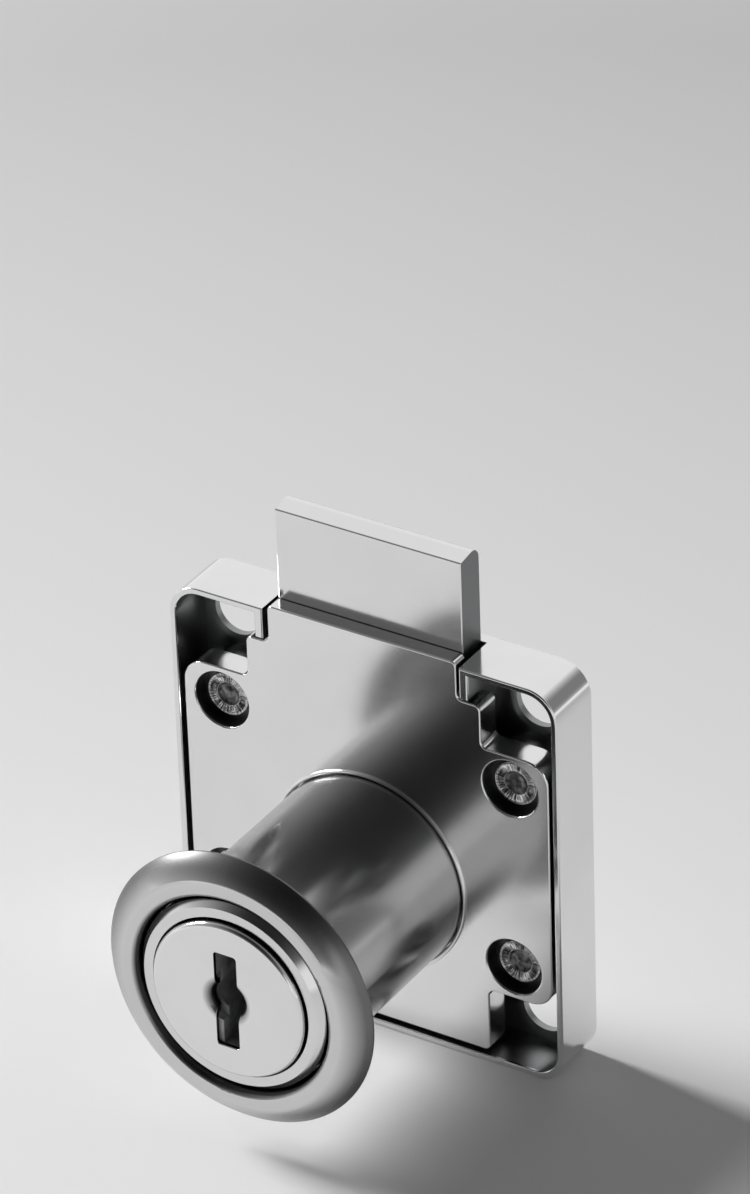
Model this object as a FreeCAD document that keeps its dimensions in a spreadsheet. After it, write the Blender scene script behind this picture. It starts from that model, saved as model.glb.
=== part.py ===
import FreeCAD, Part
import math
import os
import Sketcher
from FreeCAD import Vector

# Square drawer lock, millimetres.
# Origin: on the barrel axis, in the plane of the case's front rim.
# -Y runs out of the drawer front towards the key, +Z is the way the bolt leaves the case.

doc = FreeCAD.newDocument("drawer_lock")
dims = doc.addObject("Spreadsheet::Sheet", "dims")

SIZES = {
    # Case: a die-cast tray whose rim bears on the back of the drawer front
    "case_width": 39.0,
    "case_height": 40.0,
    "case_depth": 5.9,
    "case_top": 23.85,
    "case_wall": 0.6,
    "case_floor": 1.15,
    "case_corner": 3.0,
    "case_back_round": 0.15,
    "case_rim_round": 0.15,
    # Screw holes through the case floor, countersunk from the back
    "screw_inset": 4.2,
    "screw_hole_radius": 2.3,
    "screw_sink": 0.9,
    "screw_collar_width": 0.65,
    "screw_collar_height": 0.4,
    # Cover plate: set in the case mouth, one lobe to each side
    "plate_set_back": 0.2,
    "plate_thickness": 1.5,
    "lobe_extra": 1.0,
    "lobe_side_gap": 0.45,
    "lobe_corner": 2.2,
    "pocket_height": 7.5,
    "neck_width": 23.6,
    "neck_height": 4.15,
    "tail_width": 24.0,
    "column_gap": 0.4,
    "plate_top_lip": 0.35,
    "plate_bottom_gap": 0.45,
    "plate_inner_round": 0.6,
    "plate_top_round": 0.5,
    "plate_edge_round": 0.15,
    # Rivets that hold the plate to the case bosses
    "rivet_side_inset": 3.85,
    "rivet_end_inset": 3.3,
    "rivet_sink_radius": 2.75,
    "rivet_head_radius": 2.1,
    "rivet_head_height": 0.5,
    "rivet_head_drop": 1.0,
    "rivet_cup_radius": 1.15,
    "rivet_cup_depth": 0.3,
    "rivet_shank_radius": 1.4,
    "rivet_tail_radius": 2.0,
    "boss_radius": 3.1,
    "seat_gap": 0.03,
    # Bolt and its guides
    "bolt_width": 18.6,
    "bolt_floor_gap": 0.05,
    "bolt_plate_gap": 0.1,
    "bolt_reach": 9.25,
    "bolt_tail": 5.6,
    "bolt_tail_round": 2.0,
    "bolt_crown_rise": 0.43,
    "bolt_back_round": 1.1,
    "bolt_edge_round": 0.15,
    "bolt_slot_gap": 0.6,
    "pin_slot_round": 1.35,
    "guide_gap": 0.25,
    "guide_width": 1.15,
    "guide_end": 8.0,
    "web_clearance": 0.3,
    # Barrel: fixed housing with a flatted flange behind the plate
    "barrel_radius": 9.5,
    "barrel_length": 22.07,
    "barrel_hole_gap": 0.15,
    "barrel_relief": 0.3,
    "barrel_relief_lead": 0.1,
    "flange_radius": 11.0,
    "flange_thickness": 0.7,
    "flange_flat": 10.0,
    "flange_gap": 0.1,
    "nose_radius": 9.3,
    "nose_length": 1.97,
    "nose_chamfer": 0.55,
    "mouth_radius": 7.72,
    "mouth_chamfer": 0.12,
    "mouth_depth": 1.52,
    "groove_width": 5.4,
    "groove_reach": 7.6,
    "clip_bore_radius": 7.5,
    "clip_bore_depth": 1.35,
    # Trim ring: pressed sheet dome on the barrel nose
    "ring_radius": 13.25,
    "ring_back": 20.25,
    "ring_rim": 0.17,
    "ring_sheet": 0.4,
    "ring_crest_radius": 11.35,
    "ring_crest_height": 1.93,
    "ring_lip_radius": 10.3,
    "ring_bore_gap": 0.08,
    "ring_dome_bend": 6.0,
    "ring_crest_bend": 1.6,
    "ring_crest_drop": 0.1,
    "ring_lip_bend": 0.75,
    "ring_lip_lean": 0.25,
    "ring_lip_height": 0.55,
    "ring_neck_step": 0.6,
    "ring_hollow_step": 0.15,
    "ring_hollow_drop": 0.08,
    # Plug: turning core with its drive pin
    "plug_radius": 6.5,
    "running_gap": 0.05,
    "plug_proud": 0.67,
    "plug_tail_gap": 0.08,
    "pin_offset": 4.6,
    "pin_radius": 1.5,
    "pin_floor_gap": 0.2,
    "pin_side_gap": 0.15,
    "clip_groove_radius": 5.8,
    "clip_thickness": 0.76,
    "clip_radius": 7.3,
    "clip_opening": 5.0,
    # Face cap of the plug
    "cap_radius": 7.62,
    "cap_sheet": 0.4,
    "cap_bend": 0.5,
    "cap_skirt": 1.84,
    "dimple_radius": 2.45,
    "dimple_bend": 0.9,
    # Keyway
    "key_width": 2.25,
    "key_height": 9.4,
    "key_corner": 0.3,
    "key_edge_round": 0.1,
    "key_ward": 0.5,
    "key_ward_height": 3.4,
    "key_depth": 16.2,
    "key_hole_radius": 1.6,
    "key_hole_depth": 4.0,
    # Wafers and their springs
    "wafer_first": 3.47,
    "wafer_pitch": 2.0,
    "wafer_thickness": 0.85,
    "wafer_width": 5.0,
    "wafer_length": 11.8,
    "wafer_end_round": 0.5,
    "wafer_window": 2.75,
    "wafer_window_height": 7.0,
    "wafer_gap": 0.05,
    "ear_length": 1.95,
    "ear_height": 1.1,
    "spring_offset": 3.6,
    "spring_length": 3.5,
    "spring_radius": 0.5,
    "spring_wire": 0.24,
    "spring_pocket_gap": 0.13,
}
WAFERS = 6
SPRING_TURNS = 4
SPRING_WIRE_SIDES = 6
# How far the key lifts each wafer's window off centre: the lock's own code
WAFER_CODE = [0.4, -0.2, 0.1, 0.5, -0.4, 0.0]

# Two edges or faces closer than this, in millimetres, are at one place
NEAR = 0.01

for row, (alias, value) in enumerate(SIZES.items(), start=1):
    cell = "A%d" % row
    dims.set(cell, "%g" % value)
    dims.setAlias(cell, alias)
doc.recompute()


class Size:
    """A length that carries its value and the sheet formula that it is bound to."""

    def __init__(self, value, text):
        self.value = value
        self.text = text

    def __add__(self, other):
        return Size(self.value + number(other), "(%s + %s)" % (self.text, formula(other)))

    def __radd__(self, other):
        return Size(self.value + other, "(%s + %s)" % (formula(other), self.text))

    def __sub__(self, other):
        return Size(self.value - number(other), "(%s - %s)" % (self.text, formula(other)))

    def __rsub__(self, other):
        return Size(other - self.value, "(%s - %s)" % (formula(other), self.text))

    def __mul__(self, other):
        return Size(self.value * number(other), "(%s * %s)" % (self.text, formula(other)))

    __rmul__ = __mul__

    def __truediv__(self, other):
        return Size(self.value / number(other), "(%s / %s)" % (self.text, formula(other)))

    def __neg__(self):
        return self * -1

    def root(self):
        return Size(math.sqrt(self.value), "sqrt(%s)" % self.text)


def number(item):
    return item.value if isinstance(item, Size) else float(item)


def formula(item):
    return item.text if isinstance(item, Size) else "%g" % item


def size(alias):
    return Size(SIZES[alias], "dims.%s" % alias)


def bind(thing, path, item):
    if isinstance(item, Size):
        thing.setExpression(path, item.text)
    else:
        thing.setExpression(path, "%g" % item)


# Heights and faces that several pieces share
half_width = size("case_width") / 2
case_top = size("case_top")
case_bottom = size("case_height") - size("case_top")
floor_y = size("case_depth") - size("case_floor")
plate_front = size("plate_set_back")
plate_back = size("plate_set_back") + size("plate_thickness")
lobe_back = plate_back + size("lobe_extra")
lobe_half = half_width - size("case_wall") - size("lobe_side_gap")
lobe_top = case_top - size("pocket_height")
lobe_bottom = case_bottom - size("pocket_height")
neck_top = lobe_top + size("neck_height")
guide_inner = size("bolt_width") / 2 + size("guide_gap")
guide_outer = guide_inner + size("guide_width")
slot_half = size("bolt_width") / 2 + size("bolt_slot_gap")
bolt_front = plate_back + size("bolt_plate_gap")
bolt_back = floor_y - size("bolt_floor_gap")
rivet_x = lobe_half - size("rivet_side_inset")
rivet_z_top = lobe_top - size("rivet_end_inset")
rivet_z_bottom = size("rivet_end_inset") - lobe_bottom
rivet_seat = plate_front + size("rivet_head_drop") + size("rivet_head_height")
screw_x = half_width - size("screw_inset")
screw_z_top = case_top - size("screw_inset")
screw_z_bottom = size("screw_inset") - case_bottom
face_y = -size("barrel_length")
cap_front = face_y - size("plug_proud")
plug_front = cap_front + size("cap_sheet")
plug_shoulder = face_y + size("mouth_depth") - size("running_gap")
plug_tail = plate_back - size("plug_tail_gap")
clip_floor = plate_back - size("clip_bore_depth")
clip_front = clip_floor + size("running_gap") * 2
nose_step = face_y + size("nose_length")
wafer_hand = [1, -1]


def wafer_y(index):
    return face_y + size("wafer_first") + size("wafer_pitch") * index


# How a sketch, its outline and its features are made

def new_body(name):
    body = doc.addObject("PartDesign::Body", name)
    body.Label = name
    body.AllowCompound = True
    return body


def origin_plane(body, role):
    for feature in body.Origin.OriginFeatures:
        if feature.Role == role:
            return feature
    raise RuntimeError("no plane " + role)


def new_sketch(body, name, role, lift=None, shift=None):
    """A sketch on an origin plane; lift moves it along the plane's normal, shift along its own x."""
    sketch = body.newObject("Sketcher::SketchObject", name)
    sketch.AttachmentSupport = [(origin_plane(body, role), "")]
    sketch.MapMode = "FlatFace"
    if lift is not None:
        bind(sketch, "AttachmentOffset.Base.z", lift)
    if shift is not None:
        bind(sketch, "AttachmentOffset.Base.x", shift)
    return sketch


def front_sketch(body, name, y):
    """A sketch in the plane at depth y, seen from the front: its x is X and its y is Z."""
    return new_sketch(body, name, "XZ_Plane", lift=-y if isinstance(y, Size) else -float(y))


def side_profile(body, name, x=None, z=None):
    """A half section for a turned piece: its x is the radius and its y is Y, about the line x, z."""
    return new_sketch(body, name, "XY_Plane", lift=z, shift=x)


def pin_point(sketch, geometry, point, x, y):
    """Ties one point of an element to its two coordinates."""
    for kind, axis, item in (("DistanceX", -2, x), ("DistanceY", -1, y)):
        if not isinstance(item, Size) and item == 0:
            sketch.addConstraint(Sketcher.Constraint("PointOnObject", geometry, point, axis))
            continue
        index = sketch.addConstraint(
            Sketcher.Constraint(kind, -1, 1, geometry, point, number(item)))
        bind(sketch, "Constraints[%d]" % index, item)


def arc_centre(start, end, radius, turn):
    """Centre of the arc from start to end; turn is 1 for anticlockwise and -1 for clockwise."""
    middle = (start + end) * 0.5
    chord = end - start
    rise = math.sqrt(max(radius ** 2 - (chord.Length / 2) ** 2, 0))
    normal = Vector(-chord.y, chord.x, 0).normalize()
    return middle + normal * (rise * turn)


def outline(sketch, corners):
    """A closed outline. A corner is (x, y) after a line, or (x, y, radius, turn) after an arc."""
    spots = [Vector(number(corner[0]), number(corner[1]), 0) for corner in corners]
    ends = []
    for index, corner in enumerate(corners):
        start = spots[index - 1]
        end = spots[index]
        if len(corner) == 2:
            element = sketch.addGeometry(Part.LineSegment(start, end))
            ends.append((element, 1, 2))
            continue
        radius, turn = corner[2], corner[3]
        centre = arc_centre(start, end, number(radius), turn)
        first = start if turn > 0 else end
        last = end if turn > 0 else start
        angles = [math.atan2(spot.y - centre.y, spot.x - centre.x) for spot in (first, last)]
        circle = Part.Circle(centre, Vector(0, 0, 1), number(radius))
        element = sketch.addGeometry(Part.ArcOfCircle(circle, angles[0], angles[1]))
        ends.append((element, 1, 2) if turn > 0 else (element, 2, 1))
        bind(sketch, "Constraints[%d]" % sketch.addConstraint(
            Sketcher.Constraint("Radius", element, number(radius))), radius)
    for index, corner in enumerate(corners):
        element, _, finish = ends[index]
        following = ends[(index + 1) % len(ends)]
        sketch.addConstraint(
            Sketcher.Constraint("Coincident", element, finish, following[0], following[1]))
        pin_point(sketch, element, finish, corner[0], corner[1])


def box_outline(sketch, left, right, low, high):
    outline(sketch, [(left, low), (right, low), (right, high), (left, high)])


def rounded_box_outline(sketch, left, right, low, high, radius):
    outline(sketch, [(right - radius, low), (right, low + radius, radius, 1),
                     (right, high - radius), (right - radius, high, radius, 1),
                     (left + radius, high), (left, high - radius, radius, 1),
                     (left, low + radius), (left + radius, low, radius, 1)])


def ring_outline(sketch, x, y, radius):
    circle = Part.Circle(Vector(number(x), number(y), 0), Vector(0, 0, 1), number(radius))
    element = sketch.addGeometry(circle)
    bind(sketch, "Constraints[%d]" % sketch.addConstraint(
        Sketcher.Constraint("Radius", element, number(radius))), radius)
    pin_point(sketch, element, 3, x, y)


def recompute_with(body, feature):
    body.Tip = feature
    doc.recompute()
    if "Invalid" in feature.State or "Error" in feature.State:
        raise RuntimeError(feature.Name + " did not build")
    return feature


def pad(body, sketch, length, backwards=True):
    """Adds material from the sketch towards the back (+Y), or towards the front."""
    feature = body.newObject("PartDesign::Pad", sketch.Name + "_pad")
    feature.Profile = sketch
    feature.Reversed = backwards
    bind(feature, "Length", length)
    return recompute_with(body, feature)


def pocket(body, sketch, length, reverse=False):
    """Cuts away from the sketch, against its plane's normal unless reversed."""
    before = body.Shape.Volume
    feature = body.newObject("PartDesign::Pocket", sketch.Name + "_cut")
    feature.Profile = sketch
    feature.Reversed = reverse
    bind(feature, "Length", length)
    recompute_with(body, feature)
    if not body.Shape.Volume < before:
        raise RuntimeError(sketch.Name + " cut nothing")
    return feature


def cut_both_ways(body, sketch, length):
    before = body.Shape.Volume
    feature = body.newObject("PartDesign::Pocket", sketch.Name + "_cut")
    feature.Profile = sketch
    feature.Midplane = True
    bind(feature, "Length", length)
    recompute_with(body, feature)
    if not body.Shape.Volume < before:
        raise RuntimeError(sketch.Name + " cut nothing")
    return feature


def turn(body, sketch):
    """Turns a half section about its own upright axis."""
    feature = body.newObject("PartDesign::Revolution", sketch.Name + "_turned")
    feature.Profile = sketch
    feature.ReferenceAxis = (sketch, ["V_Axis"])
    feature.Angle = 360
    return recompute_with(body, feature)


def edges_where(shape, test):
    names = []
    for index, edge in enumerate(shape.Edges, start=1):
        if test(edge):
            names.append("Edge%d" % index)
    return names


def along_depth(x, z):
    """Test for an edge that runs in Y at the place x, z."""
    spot_x, spot_z = number(x), number(z)

    def test(edge):
        box = edge.BoundBox
        inside = box.XLength < NEAR and box.ZLength < NEAR
        return inside and abs(box.XMin - spot_x) < NEAR and abs(box.ZMin - spot_z) < NEAR
    return test


def circle_at(y, radius):
    """Test for a full circle of this radius in the plane at depth y."""
    depth, reach = number(y), number(radius)

    def test(edge):
        if not isinstance(edge.Curve, Part.Circle):
            return False
        return abs(edge.Curve.Radius - reach) < NEAR and abs(edge.Curve.Center.y - depth) < NEAR
    return test


def dress(body, kind, name, tests, amount, every=True):
    """Rounds or chamfers the edges that the tests pick."""
    base = body.Tip
    names = []
    for test in tests:
        found = edges_where(body.Shape, test)
        if not found and every:
            raise RuntimeError("no edge found for " + name)
        names += [item for item in found if item not in names]
    feature = body.newObject("PartDesign::" + kind, name)
    feature.Base = (base, names)
    bind(feature, "Radius" if kind == "Fillet" else "Size", amount)
    return recompute_with(body, feature)


def four_places(x, z_top, z_bottom):
    return [(side * x, z) for side in (1, -1) for z in (z_top, z_bottom)]


# Case

def make_case():
    body = new_body("case")
    sketch = front_sketch(body, "case_block", 0)
    corner = size("case_corner")
    rounded_box_outline(sketch, -half_width, half_width, -case_bottom, case_top, corner)
    pad(body, sketch, size("case_depth"))

    inner_half = half_width - size("case_wall")
    inner_top = case_top - size("case_wall")
    inner_bottom = case_bottom - size("case_wall")
    sketch = front_sketch(body, "case_hollow", 0)
    rounded_box_outline(sketch, -inner_half, inner_half, -inner_bottom, inner_top,
                        corner - size("case_wall"))
    pocket(body, sketch, floor_y)

    # The guides run full height beside the slot and pass as a low ledge under the plate
    web_foot = neck_top + size("web_clearance")
    for side in (1, -1):
        tag = "right" if side > 0 else "left"
        sketch = front_sketch(body, "case_web_" + tag, floor_y)
        box_outline(sketch, side * slot_half, side * guide_outer, web_foot, inner_top)
        pad(body, sketch, floor_y, backwards=False)
        sketch = front_sketch(body, "case_guide_" + tag, floor_y)
        box_outline(sketch, side * guide_inner, side * guide_outer, -size("guide_end"), web_foot)
        pad(body, sketch, floor_y - bolt_front, backwards=False)

    sketch = front_sketch(body, "case_bosses", floor_y)
    for x, z in four_places(rivet_x, rivet_z_top, rivet_z_bottom):
        ring_outline(sketch, x, z, size("boss_radius"))
    pad(body, sketch, floor_y - lobe_back, backwards=False)

    sketch = front_sketch(body, "case_collars", floor_y)
    for x, z in four_places(screw_x, screw_z_top, screw_z_bottom):
        ring_outline(sketch, x, z, size("screw_hole_radius") + size("screw_collar_width"))
    pad(body, sketch, size("screw_collar_height"), backwards=False)

    sketch = front_sketch(body, "case_bolt_slot", 0)
    box_outline(sketch, -slot_half, slot_half, inner_top - size("case_wall"), case_top + size("case_wall"))
    pocket(body, sketch, floor_y)

    sketch = front_sketch(body, "case_screw_holes", 0)
    for x, z in four_places(screw_x, screw_z_top, screw_z_bottom):
        ring_outline(sketch, x, z, size("screw_hole_radius"))
    pocket(body, sketch, size("case_depth") * 2)
    dress(body, "Chamfer", "case_screw_sinks",
          [circle_at(size("case_depth"), size("screw_hole_radius"))], size("screw_sink"))

    sketch = front_sketch(body, "case_rivet_holes", 0)
    hole = size("rivet_shank_radius") + size("seat_gap")
    for x, z in four_places(rivet_x, rivet_z_top, rivet_z_bottom):
        ring_outline(sketch, x, z, hole)
    pocket(body, sketch, size("case_depth") * 2)
    dress(body, "Chamfer", "case_rivet_sinks", [circle_at(size("case_depth"), hole)],
          size("rivet_tail_radius") - size("rivet_shank_radius"))

    def back_outline(edge):
        box = edge.BoundBox
        flat = box.YLength < NEAR and abs(box.YMin - size("case_depth").value) < NEAR
        outer = max(abs(box.XMin), abs(box.XMax)) > half_width.value - NEAR
        ends = box.ZMax > case_top.value - NEAR or box.ZMin < NEAR - case_bottom.value
        return flat and (outer or ends)
    dress(body, "Fillet", "case_back_round", [back_outline], size("case_back_round"))

    def rim_edge(edge):
        box = edge.BoundBox
        return box.YLength < NEAR and abs(box.YMin) < NEAR
    dress(body, "Fillet", "case_rim_round", [rim_edge], size("case_rim_round"))
    return body


# Cover plate

def flatted_disc(sketch, radius, flat):
    """A disc with two upright flats, one each side."""
    rise = (radius * radius - flat * flat).root()
    outline(sketch, [(flat, -rise, radius, 1), (flat, rise), (-flat, rise, radius, 1), (-flat, -rise)])


def make_cover_plate():
    body = new_body("cover_plate")
    column = slot_half - size("column_gap")
    neck = size("neck_width") / 2
    tail = size("tail_width") / 2
    top = case_top + size("plate_top_lip")
    bottom = case_bottom - size("case_wall") - size("plate_bottom_gap")
    right = [(tail, -bottom), (tail, -lobe_bottom), (lobe_half, -lobe_bottom), (lobe_half, lobe_top),
             (neck, lobe_top), (neck, neck_top), (column, neck_top), (column, top)]
    left = [(-x, z) for x, z in reversed(right)]
    sketch = front_sketch(body, "plate_outline", plate_front)
    outline(sketch, right + left)
    pad(body, sketch, lobe_back - plate_front)

    sides = (1, -1)
    lobes = [along_depth(side * lobe_half, z) for side in sides for z in (lobe_top, -lobe_bottom)]
    dress(body, "Fillet", "plate_lobe_corners", lobes, size("lobe_corner"))
    inner = [along_depth(side * x, z) for side in sides
             for x, z in ((neck, lobe_top), (neck, neck_top), (column, neck_top), (tail, -lobe_bottom),
                          (tail, -bottom))]
    dress(body, "Fillet", "plate_inner_corners", inner, size("plate_inner_round"))
    dress(body, "Fillet", "plate_top_corners", [along_depth(side * column, top) for side in sides],
          size("plate_top_round"))

    # The bolt and its guides pass behind the middle, so only the lobes keep the full thickness
    channel = guide_outer + size("flange_gap")
    sketch = front_sketch(body, "plate_channel", plate_back)
    margin = size("lobe_extra")
    box_outline(sketch, -channel, channel, -bottom - margin, top + margin)
    pocket(body, sketch, size("lobe_extra") * 2)

    sketch = front_sketch(body, "plate_barrel_hole", 0)
    ring_outline(sketch, 0, 0, size("barrel_radius") + size("barrel_hole_gap"))
    pocket(body, sketch, lobe_back * 2)

    flange_seat = plate_back - size("flange_thickness") - size("seat_gap")
    sketch = front_sketch(body, "plate_flange_seat", flange_seat)
    flatted_disc(sketch, size("flange_radius") + size("flange_gap"),
                 size("flange_flat") + size("flange_gap"))
    pocket(body, sketch, size("lobe_extra") * 3)

    sketch = front_sketch(body, "plate_rivet_sinks", plate_front)
    for x, z in four_places(rivet_x, rivet_z_top, rivet_z_bottom):
        ring_outline(sketch, x, z, size("rivet_sink_radius"))
    pocket(body, sketch, rivet_seat - plate_front)
    sketch = front_sketch(body, "plate_rivet_holes", plate_front)
    for x, z in four_places(rivet_x, rivet_z_top, rivet_z_bottom):
        ring_outline(sketch, x, z, size("rivet_shank_radius") + size("seat_gap"))
    pocket(body, sketch, lobe_back * 2)

    def front_edge(edge):
        box = edge.BoundBox
        return box.YLength < NEAR and abs(box.YMin - plate_front.value) < NEAR
    dress(body, "Fillet", "plate_front_round", [front_edge], size("plate_edge_round"))
    return body


# Rivets: hollow heads in the plate's sinks, flared tails in the case's back

def make_rivets():
    body = new_body("rivets")
    head_front = plate_front + size("rivet_head_drop")
    tail_flare = size("rivet_tail_radius") - size("rivet_shank_radius")
    back = size("case_depth")
    for index, (x, z) in enumerate(four_places(rivet_x, rivet_z_top, rivet_z_bottom)):
        sketch = side_profile(body, "rivet_section_%d" % (index + 1), x, z)
        cup_floor = head_front + size("rivet_cup_depth")
        outline(sketch, [
            (0, cup_floor),
            (size("rivet_cup_radius") - size("rivet_cup_depth"), cup_floor),
            (size("rivet_cup_radius"), head_front),
            (size("rivet_head_radius"), head_front),
            (size("rivet_head_radius"), rivet_seat),
            (size("rivet_shank_radius"), rivet_seat),
            (size("rivet_shank_radius"), back - tail_flare),
            (size("rivet_tail_radius"), back),
            (0, back),
        ])
        turn(body, sketch)
    return body


# Barrel

def make_barrel():
    body = new_body("barrel")
    flange_front = plate_back - size("flange_thickness")
    relief_start = plate_front - size("barrel_relief_lead")
    bore = size("plug_radius") + size("running_gap")
    mouth_floor = face_y + size("mouth_depth")
    sketch = side_profile(body, "barrel_section")
    outline(sketch, [
        (size("clip_bore_radius"), plate_back),
        (size("flange_radius"), plate_back),
        (size("flange_radius"), flange_front),
        (size("barrel_radius") - size("barrel_relief"), flange_front),
        (size("barrel_radius") - size("barrel_relief"), relief_start),
        (size("barrel_radius"), relief_start),
        (size("barrel_radius"), nose_step),
        (size("nose_radius"), nose_step),
        (size("nose_radius"), face_y + size("nose_chamfer")),
        (size("nose_radius") - size("nose_chamfer"), face_y),
        (size("mouth_radius") + size("mouth_chamfer"), face_y),
        (size("mouth_radius"), face_y + size("mouth_chamfer")),
        (size("mouth_radius"), mouth_floor),
        (bore, mouth_floor),
        (bore, clip_floor),
        (size("clip_bore_radius"), clip_floor),
    ])
    turn(body, sketch)

    for side in (1, -1):
        sketch = front_sketch(body, "flange_flat_" + ("right" if side > 0 else "left"), flange_front)
        reach = size("flange_radius") + 1
        box_outline(sketch, side * size("flange_flat"), side * reach, -reach, reach)
        pocket(body, sketch, size("flange_thickness") * 2)

    # One cut across the bore leaves the groove above it and the groove below it
    half = size("groove_width") / 2
    start = wafer_y(0) - size("wafer_thickness")
    sketch = front_sketch(body, "wafer_grooves", start)
    box_outline(sketch, -half, half, -size("groove_reach"), size("groove_reach"))
    pocket(body, sketch, size("wafer_pitch") * (WAFERS - 1) + size("wafer_thickness") * 2)
    return body


# Trim ring: pressed dome with a short neck that grips the barrel nose

def make_trim_ring():
    body = new_body("trim_ring")
    back = -size("ring_back")
    rim = back - size("ring_rim")
    crest = back - size("ring_crest_height")
    bore = size("nose_radius") + size("ring_bore_gap")
    sheet = size("ring_sheet")
    neck_back = back - size("ring_bore_gap")
    lip_end = crest + size("ring_lip_height")
    sketch = side_profile(body, "ring_section")
    outline(sketch, [
        (size("ring_radius"), back),
        (size("ring_radius"), rim),
        (size("ring_crest_radius"), crest + size("ring_crest_drop"), size("ring_dome_bend"), -1),
        (size("ring_lip_radius"), crest, size("ring_crest_bend"), -1),
        (bore + size("ring_lip_lean"), lip_end, size("ring_lip_bend"), -1),
        (bore, lip_end + size("ring_neck_step")),
        (bore, neck_back),
        (bore + sheet, neck_back),
        (bore + sheet, crest + size("ring_lip_bend")),
        (size("ring_lip_radius"), crest + sheet),
        (size("ring_crest_radius") - size("ring_hollow_step"), crest + sheet + size("ring_hollow_drop")),
        (size("ring_radius") - sheet, back),
    ])
    turn(body, sketch)
    return body


# Plug

def make_plug():
    body = new_body("plug")
    head = size("cap_radius") - size("cap_sheet") - size("seat_gap")
    clip_back = clip_front + size("clip_thickness") + size("seat_gap")
    groove_front = clip_front - size("seat_gap")
    sketch = side_profile(body, "plug_section")
    outline(sketch, [
        (0, plug_front),
        (head, plug_front),
        (head, plug_shoulder),
        (size("plug_radius"), plug_shoulder),
        (size("plug_radius"), groove_front),
        (size("clip_groove_radius"), groove_front),
        (size("clip_groove_radius"), clip_back),
        (size("plug_radius"), clip_back),
        (size("plug_radius"), plug_tail),
        (0, plug_tail),
    ])
    turn(body, sketch)

    sketch = front_sketch(body, "drive_pin", plug_tail)
    ring_outline(sketch, 0, size("pin_offset"), size("pin_radius"))
    pad(body, sketch, floor_y - size("pin_floor_gap") - plug_tail)

    # The keyway narrows below its middle, where a ward stands on its left wall
    half = size("key_width") / 2
    tall = size("key_height") / 2
    ward_top = size("key_ward_height") - tall
    sketch = front_sketch(body, "keyway", plug_front)
    outline(sketch, [(half, -tall), (half, tall), (-half, tall), (-half, ward_top + size("key_ward")),
                     (size("key_ward") - half, ward_top), (size("key_ward") - half, -tall)])
    pocket(body, sketch, size("key_depth"))
    sketch = front_sketch(body, "key_post_hole", plug_front)
    ring_outline(sketch, 0, 0, size("key_hole_radius"))
    pocket(body, sketch, size("key_hole_depth"))
    sketch = front_sketch(body, "dimple_room", plug_front)
    ring_outline(sketch, 0, 0, size("dimple_radius") + size("seat_gap"))
    pocket(body, sketch, size("dimple_bend"))

    # Wafer slots go right through; an ear slot and a spring pocket lie beside each
    slot_y = size("wafer_thickness") / 2 + size("wafer_gap")
    slot_x = size("wafer_width") / 2 + size("wafer_gap")
    reach = size("plug_radius") * 2
    sketch = new_sketch(body, "wafer_slots", "XY_Plane")
    for index in range(WAFERS):
        box_outline(sketch, -slot_x, slot_x, wafer_y(index) - slot_y, wafer_y(index) + slot_y)
    cut_both_ways(body, sketch, reach)

    ear_x = size("wafer_width") / 2 + size("ear_length") + size("wafer_gap")
    ear_foot = size("ear_height") / 2 + size("wafer_gap")
    pocket_radius = size("spring_radius") + size("spring_wire") / 2 + size("spring_pocket_gap")
    for hand in wafer_hand:
        tag = "up" if hand > 0 else "down"
        indices = [index for index in range(WAFERS) if wafer_hand[index % 2] == hand]
        sketch = new_sketch(body, "ear_slots_" + tag, "XY_Plane", lift=-hand * ear_foot)
        for index in indices:
            box_outline(sketch, hand * size("wafer_width") / 2, hand * ear_x,
                        wafer_y(index) - slot_y, wafer_y(index) + slot_y)
        pocket(body, sketch, reach, reverse=hand > 0)
        sketch = new_sketch(body, "spring_pockets_" + tag, "XY_Plane", lift=-hand * ear_foot)
        for index in indices:
            ring_outline(sketch, hand * size("spring_offset"), wafer_y(index), pocket_radius)
        pocket(body, sketch, size("spring_length") + size("seat_gap"), reverse=hand < 0)
    return body


# Face cap of the plug: pressed sheet with a rounded dimple and the keyway

def make_plug_cap():
    body = new_body("plug_cap")
    inner = size("cap_radius") - size("cap_sheet")
    sheet_back = cap_front + size("cap_sheet")
    hole = size("dimple_radius") - size("dimple_bend")
    skirt_back = cap_front + size("cap_skirt")
    sketch = side_profile(body, "cap_section")
    outline(sketch, [
        (size("dimple_radius"), cap_front, size("dimple_bend"), 1),
        (size("cap_radius") - size("cap_bend"), cap_front),
        (size("cap_radius"), cap_front + size("cap_bend"), size("cap_bend"), 1),
        (size("cap_radius"), skirt_back),
        (inner, skirt_back),
        (inner, sheet_back),
        (size("dimple_radius"), sheet_back),
        (hole + size("cap_sheet"), cap_front + size("dimple_bend"),
         size("dimple_bend") - size("cap_sheet"), -1),
        (hole, cap_front + size("dimple_bend")),
    ])
    turn(body, sketch)
    half = size("key_width") / 2
    tall = size("key_height") / 2
    sketch = front_sketch(body, "cap_keyway", cap_front)
    rounded_box_outline(sketch, -half, half, -tall, tall, size("key_corner"))
    pocket(body, sketch, size("cap_sheet") + size("dimple_bend"))

    def keyway_rim(edge):
        box = edge.BoundBox
        flat = box.YLength < NEAR and abs(box.YMin - cap_front.value) < NEAR
        return flat and max(abs(box.XMin), abs(box.XMax)) < half.value + NEAR
    dress(body, "Fillet", "cap_keyway_round", [keyway_rim], size("key_edge_round"))
    return body


# Retaining clip: an open ring in the plug's tail groove

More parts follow.
